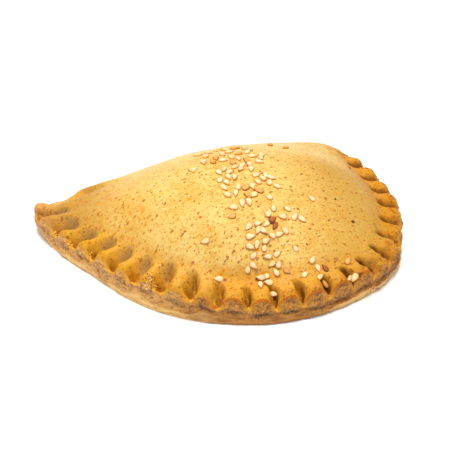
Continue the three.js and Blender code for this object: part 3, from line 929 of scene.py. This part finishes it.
def torn_colour(shader, pale):
    """Torn dough: tan and grey-brown grains with pale and reddish ones among them."""
    coarse = shader.ramp(shader.noise(2.2, 5, 0.7), 0.42, 0.6)
    fine = shader.noise(0.6, 4, 0.75)
    reddish = shader.noise(1.1, 3, 0.6)
    dark_share = shader.math("MULTIPLY_ADD", pale, -0.35, 0.65)
    darker = shader.mix(coarse, "torn", "torn_patch")
    lighter = shader.mix(coarse, "pale_torn", "pale_torn_patch")
    colour = shader.mix(pale, darker, lighter)
    colour = shader.blend(colour, "dark_grain", shader.ramp(fine, 0.52, 0.64), dark_share)
    colour = shader.blend(colour, "light_grain", shader.ramp(fine, 0.46, 0.36), 0.55)
    return shader.blend(colour, "reddish_grain", shader.ramp(reddish, 0.55, 0.64), 0.65)


def lower_crust_colour(shader, pale):
    """The lower crust, which shows thin layers."""
    layers = shader.noise(1, 4, vector=shader.stretched((4.0, 4.0, 1.3), 0.0, 7.0))
    darker = shader.mix(shader.ramp(layers, 0.34, 0.66), "lower_crust", "lower_layer")
    lighter = shader.mix(shader.ramp(layers, 0.3, 0.7), "pale_lower_crust", "pale_lower_layer")
    return shader.mix(pale, darker, lighter)


def rim_colours(shader, colour, masks):
    """Browned hollows partly painted with shade, painted shade on the press walls and in the creases, torn
    tan faces, the lower crust, the dark seam, bright lips and toasted edges.
    """
    # painted shade for the walls of the presses, greyer in the scoops
    shadow = shader.mix(masks["scooped"], "painted_wall_shade", "painted_scoop_shade")
    mottled = shader.ramp(shader.noise(1.0, 3, 0.6), 0.2, 0.6)
    broken = shader.ramp(shader.noise(6, 2), 0.2, 0.42)
    grainy = shader.math("MULTIPLY", broken, shader.ramp(shader.noise(0.8, 4, 0.7), 0.36, 0.56))
    patches = shader.ramp(shader.noise(1.2, 4, 0.65), 0.5, 0.64)
    line = shader.ramp(shader.noise(2.2, 2), 0.22, 0.46)
    # painted shade on the walls of the presses
    colour = shader.blend(colour, shadow, masks["painted_wall_shade"], 0.68)
    # browned hollow floors, partly painted shade
    colour = shader.blend(colour, "valley", masks["valley"], mottled)
    # painted shade in creases, slits and pits and under the fingers
    colour = shader.blend(colour, "crease", masks["crease"])
    colour = shader.blend(colour, torn_colour(shader, masks["scooped"]), masks["cut"])
    colour = shader.blend(colour, lower_crust_colour(shader, masks["pale"]), masks["low"])
    colour = shader.blend(colour, "grey", masks["grey"], grainy)
    colour = shader.blend(colour, "seam", masks["seam"], grainy, 0.7)
    colour = shader.blend(colour, "lip", masks["lip"], 0.85)
    colour = shader.blend(colour, "scorched", masks["scorched"], patches, 0.8)
    return shader.blend(colour, "toasted", masks["toasted"], line, 0.95)


def fleck_colours(shader, colour, masks):
    """Bran, toasted spots and a few black specks; brown specks on torn dough and the lower crust."""
    side = shader.math("MAXIMUM", masks["cut"], masks["low"])
    dough = shader.math("SUBTRACT", 1.0, side)
    # Flecks fade on steep dough and under the painted sheen on the top
    faded = shader.math("MAXIMUM", masks["steep"], shader.math("MULTIPLY", masks["painted_sheen"], 1.5))
    places = {
        "top": shader.math("MULTIPLY", dough, shader.math("SUBTRACT", 1.0, faded)),
        "side": side,
        "rim": shader.math("MULTIPLY", dough, masks["speckled"]),
    }
    for *pattern, strength, tint, where in FLECKS:
        flecks = shader.flecks(*pattern, flat=where == "top")
        colour = shader.blend(colour, tint, flecks, strength, places[where])
    return colour


def crust_material():
    shader = Shader("baked_dough")
    masks = {name: shader.attribute(name) for name in MASKS + TONES}
    colour = dough_colour(shader)
    # Tones of the dough, among them the painted sheen on the top and painted shade on the sides and the
    # lower dough
    for tone in ("painted_sheen", "golden", "rosy_tip_and_painted_shade", "painted_side_shade"):
        colour = shader.blend(colour, tone, masks[tone])
    patches = shader.ramp(shader.noise(4, 4, 0.6), 0.2, 0.65)
    # Browning, with partly painted shade on the lower dough
    colour = shader.blend(colour, "browned", masks["bake_and_painted_shade"], patches)
    colour = rim_colours(shader, colour, masks)
    colour = fleck_colours(shader, colour, masks)
    grain = shader.noise(0.55, 4, 0.65)
    shader.set("Base Color", colour)
    shader.set("Roughness", shader.ramp(grain, -0.6, 1.6))
    shader.set("Specular IOR Level", 0.1)
    shader.add_grain(grain, 0.6, 0.25)
    return shader.material


def seed_material(name, middle, rim):
    shader = Shader(name)
    colour = shader.blend(middle, rim, shader.ramp(shader.noise(1.1, 2), 0.4, 0.75), 0.5)
    # darker at the point and round the lower side: toast, and painted shade on the lower side
    colour = shader.blend(colour, rim, shader.attribute("tan_and_painted_shade"), 0.9)
    shader.set("Base Color", colour)
    shader.set("Roughness", 0.5)
    shader.set("Specular IOR Level", 0.25)
    shader.add_grain(shader.noise(0.35, 2), 0.2, 0.05)
    return shader.material


def crumb_material(name, light, dark):
    shader = Shader(name)
    shader.set("Base Color", shader.mix(shader.ramp(shader.noise(0.5, 2, 0.6), 0.35, 0.65), light, dark))
    shader.set("Roughness", 0.8)
    shader.set("Specular IOR Level", 0.1)
    return shader.material


def make_crust():
    """The crust piece, and its surface for the seeds and crumbs to lie on."""
    crust = Crust()
    triangles = crust.triangles()
    points = soften_fold_end(crust.points(), triangles)
    points = add_relief(points, vertex_normals(points, triangles), crust)
    points[:, 2] = np.maximum(points[:, 2], 0)
    piece = new_object("crust", points, triangles, crust_material())
    for name in MASKS:
        add_attribute(piece, name, crust.mask(name))
    for name, values in browning(points, vertex_normals(points, triangles)).items():
        add_attribute(piece, name, values)
    return BVHTree.FromPolygons(points.tolist(), triangles.tolist())


def seed_places():
    """Places of the seeds in plan, each with its turn, its size and its share of toasting."""
    draw = DRAW_START

    def next_draw():
        nonlocal draw
        draw = draw * DRAW_FACTOR % DRAW_RANGE
        return draw / DRAW_RANGE

    seeds = []
    for x, y, spread_x, spread_y, number, toasted in PINCHES:
        for _ in range(number):
            best = None
            for _ in range(SEED_TRIES):
                at_x = x + spread_x * (2 * next_draw() - 1)
                at_y = y + spread_y * (2 * next_draw() - 1)
                clear = min([(s[0] - at_x) ** 2 + (s[1] - at_y) ** 2 for s in seeds] + [SEED_GAP**2])
                if best is None or clear > best[2]:
                    best = (at_x, at_y, clear)
            turn = 2 * math.pi * next_draw()
            size = 1 + SIZE_SPREAD * (next_draw() - 0.5)
            seeds.append((best[0], best[1], turn, size, toasted))
    return seeds


def ball_faces(around, rings):
    """Faces of a closed shape with one point at the bottom, rings of points and one point at the top."""
    faces = []
    top = 1 + (rings - 2) * around
    for i in range(around):
        after = (i + 1) % around
        faces.append((0, 1 + after, 1 + i))
        for low in range(1, top, around):
            faces.append((low + i, low + after, low + around + after))
            faces.append((low + i, low + around + after, low + around + i))
        faces.append((top + i, top + after, top + around))
    return np.array(faces)


def seed_points():
    """Points of one seed round its own middle: a flat drop with its point at +X."""
    points = [(0, 0, -SEED_THICKNESS / 2)]
    for k in range(1, SEED_RINGS):
        lift = -math.cos(math.pi * k / SEED_RINGS)
        share = (1 - lift**2) ** SEED_EDGE
        for i in range(SEED_AROUND):
            angle = 2 * math.pi * i / SEED_AROUND
            narrowing = SEED_FULLNESS * (0.5 - 0.5 * math.cos(angle)) ** SEED_POINT
            points.append((
                SEED_LENGTH / 2 * share * math.cos(angle),
                SEED_WIDTH / 2 * share * narrowing * math.sin(angle),
                SEED_THICKNESS / 2 * lift,
            ))
    points.append((0, 0, SEED_THICKNESS / 2))
    return np.array(points)


def posed(shape, place, turned, sizes):
    """The points of a shape, sized, turned and moved to their place."""
    pose = Matrix.LocRotScale(place, turned, Vector(sizes))
    return shape @ np.array(pose.to_3x3()).T + np.array(pose.translation)


def rest_on(surface, x, y):
    """The place on the crust over x and y, and the crust's direction there, evened out over a seed."""
    around = [(0, 0), (SEED_REST, 0), (-SEED_REST, 0), (0, SEED_REST), (0, -SEED_REST)]
    hits = [surface.ray_cast(Vector((x + dx, y + dy, 2 * CROWN)), -UP) for dx, dy in around]
    found = [hit for hit in hits if hit[0] is not None]
    middle = hits[0][0]
    middle.z = max(middle.z, sum(hit[0].z for hit in found) / len(found))
    return middle, sum((hit[1] for hit in found), Vector()).normalized()


def make_seeds(surface):
    """All seeds, lying on the crust, as one piece for each tone."""
    shape = seed_points()
    faces = ball_faces(SEED_AROUND, SEED_RINGS)
    # darker at the point (toasted) and round the lower side (partly toasted, partly painted shade)
    tan_and_painted_shade = np.maximum(coming(shape[:, 0], *TANNED_POINT), coming(shape[:, 2], *TAN_AND_PAINTED_SHADE_SIDE))
    tones = {tone: [] for tone in SEED_COLOURS}
    chance = random.Random(SEED_CHANCE)
    laid = []
    for x, y, turn, size, toasted in seed_places():
        hit, normal = rest_on(surface, x, y)
        near = [math.hypot(x - other[0], y - other[1]) for other in laid]
        crowded = max(1 - min(near + [SEED_APART]) / SEED_APART, 0)
        laid.append((x, y))
        turned = UP.rotation_difference(normal) @ Quaternion(UP, turn)
        lean = math.radians(chance.uniform(0, SEED_LEAN) + CROWDED_LEAN * crowded)
        tilt = Quaternion((chance.uniform(-1, 1), chance.uniform(-1, 1), 0), lean)
        rise = SEED_RAISED + SEED_THICKNESS * crowded
        drawn = chance.random()
        tone = "dark" if toasted == DARK else "toasted" if drawn < toasted else "pale"
        tones[tone].append(posed(shape, hit + normal * rise, turned @ tilt, (size, size, size)))
    for tone, placed in tones.items():
        material = seed_material(f"{tone}_seed", *SEED_COLOURS[tone])
        piece = joined_object(f"{tone}_seeds", placed, faces, material)
        add_attribute(piece, "tan_and_painted_shade", np.tile(tan_and_painted_shade, len(placed)))


def crumb_points(chance):
    """Points of one crumb round its own middle, about one millimetre across: a rough flattened lump."""
    points = [(0, 0, -CRUMB_RISE)]
    for k in range(1, CRUMB_RINGS):
        lift = -math.cos(math.pi * k / CRUMB_RINGS)
        for i in range(CRUMB_AROUND):
            angle = 2 * math.pi * (i + 0.5 * k) / CRUMB_AROUND
            reach = CRUMB_HALF * math.sqrt(1 - lift**2) * chance.uniform(0.6, 1.25)
            rise = CRUMB_RISE * lift * chance.uniform(0.7, 1.3)
            points.append((reach * math.cos(angle), reach * math.sin(angle), rise))
    points.append((0, 0, CRUMB_RISE))
    return np.array(points)


def make_crumbs(surface):
    """Crumbs and flakes of baked dough, as one piece for each kind."""
    chance = random.Random(CRUMB_CHANCE)
    faces = ball_faces(CRUMB_AROUND, CRUMB_RINGS)
    for kind, colours in CRUMB_COLOURS.items():
        placed = []
        for x, y, spread, number, size, of_kind in CRUMBS:
            for _ in range(number if of_kind == kind else 0):
                at = Vector((x + chance.gauss(0, spread / 2), y + chance.gauss(0, spread / 2), 2 * CROWN))
                hit, normal, *_ = surface.ray_cast(at, -UP)
                if hit is None:
                    continue
                turned = UP.rotation_difference(normal) @ Quaternion(UP, chance.uniform(0, CRUMB_TURN))
                sizes = [size * chance.uniform(0.5, 1.2) for _ in range(3)]
                shape = crumb_points(chance)
                placed.append(posed(shape, hit + normal * CRUMB_RAISED, turned, sizes))
        joined_object(f"{kind}_crumbs", placed, faces, crumb_material(f"{kind}_crumb", *colours))


def make_floor():
    mesh = bpy.data.meshes.new("floor")
    corners = [(STAGE_HALF * x, STAGE_HALF * y, 0) for x, y in ((-1, -1), (1, -1), (1, 1), (-1, 1))]
    mesh.from_pydata(corners, [], [(0, 1, 2, 3)])
    material = bpy.data.materials.new("floor_white")
    material.use_nodes = True
    surface = material.node_tree.nodes["Principled BSDF"]
    surface.inputs["Base Color"].default_value = STAGE_WHITE
    surface.inputs["Roughness"].default_value = 0.9
    mesh.materials.append(material)
    floor = linked("floor", mesh)
    floor.location.z = -STAGE_DROP


def make_lights():
    """One soft lamp from above, and a white sky."""
    lamp = bpy.data.lights.new("key_light", "AREA")
    lamp.size = KEY_LIGHT["size"]
    lamp.energy = KEY_LIGHT["power"]
    light = linked("key_light", lamp)
    light.location = KEY_LIGHT["place"]
    light.rotation_euler = (-KEY_LIGHT["place"]).to_track_quat("-Z", "Y").to_euler()
    world = bpy.data.worlds.new("studio")
    world.use_nodes = True
    sky = world.node_tree.nodes["Background"]
    sky.inputs["Color"].default_value = (1, 1, 1, 1)
    sky.inputs["Strength"].default_value = SKY_STRENGTH
    bpy.context.scene.world = world


def make_camera():
    lens = bpy.data.cameras.new("camera")
    lens.lens = CAMERA_LENS
    camera = linked("camera", lens)
    back = Vector((
        -math.sin(CAMERA_TURN) * math.cos(CAMERA_RISE),
        -math.cos(CAMERA_TURN) * math.cos(CAMERA_RISE),
        math.sin(CAMERA_RISE),
    ))
    camera.location = CAMERA_TARGET + back * CAMERA_DISTANCE
    camera.rotation_euler = back.to_track_quat("Z", "Y").to_euler()
    bpy.context.scene.camera = camera


bpy.context.scene.view_settings.view_transform = "Standard"
make_camera()
make_floor()
make_lights()
crust_surface = make_crust()
make_seeds(crust_surface)
make_crumbs(crust_surface)
